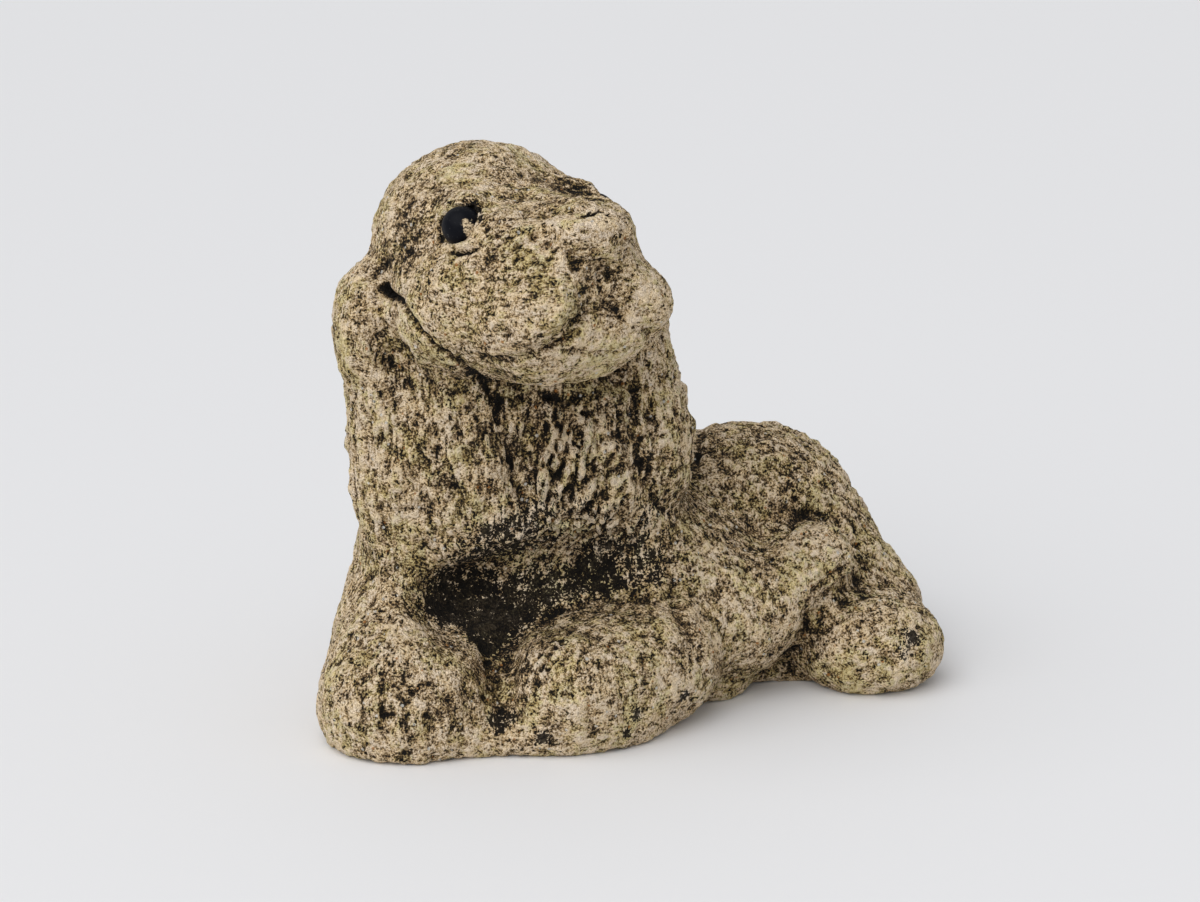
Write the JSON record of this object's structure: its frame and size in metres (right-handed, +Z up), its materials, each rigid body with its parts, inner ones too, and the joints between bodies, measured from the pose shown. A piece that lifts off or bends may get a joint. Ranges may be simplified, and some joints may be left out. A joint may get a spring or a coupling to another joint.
{
  "type": "stone spaniel garden ornament",
  "caption": "Cast stone garden ornament of a spaniel puppy lying with its head turned and raised, with long ears, a curled haunch, dark glass eyes and a flat underside.",
  "frame": {"origin": "middle of the footprint, on the plane that the flat underside stands on", "axes": "+Z up, +X towards the haunch on the dog's own left, -Y out of the front paws"},
  "size_m": [0.2482, 0.2064, 0.225],
  "materials": {
    "cast_stone": "coarse weathered cast stone with lichen",
    "left_eye_glass": "gloss",
    "right_eye_glass": "gloss"
  },
  "bodies": {
    "root": {"spaniel_casting": "cast_stone", "left_eye": "left_eye_glass", "right_eye": "right_eye_glass"}
  },
  "joints": []
}
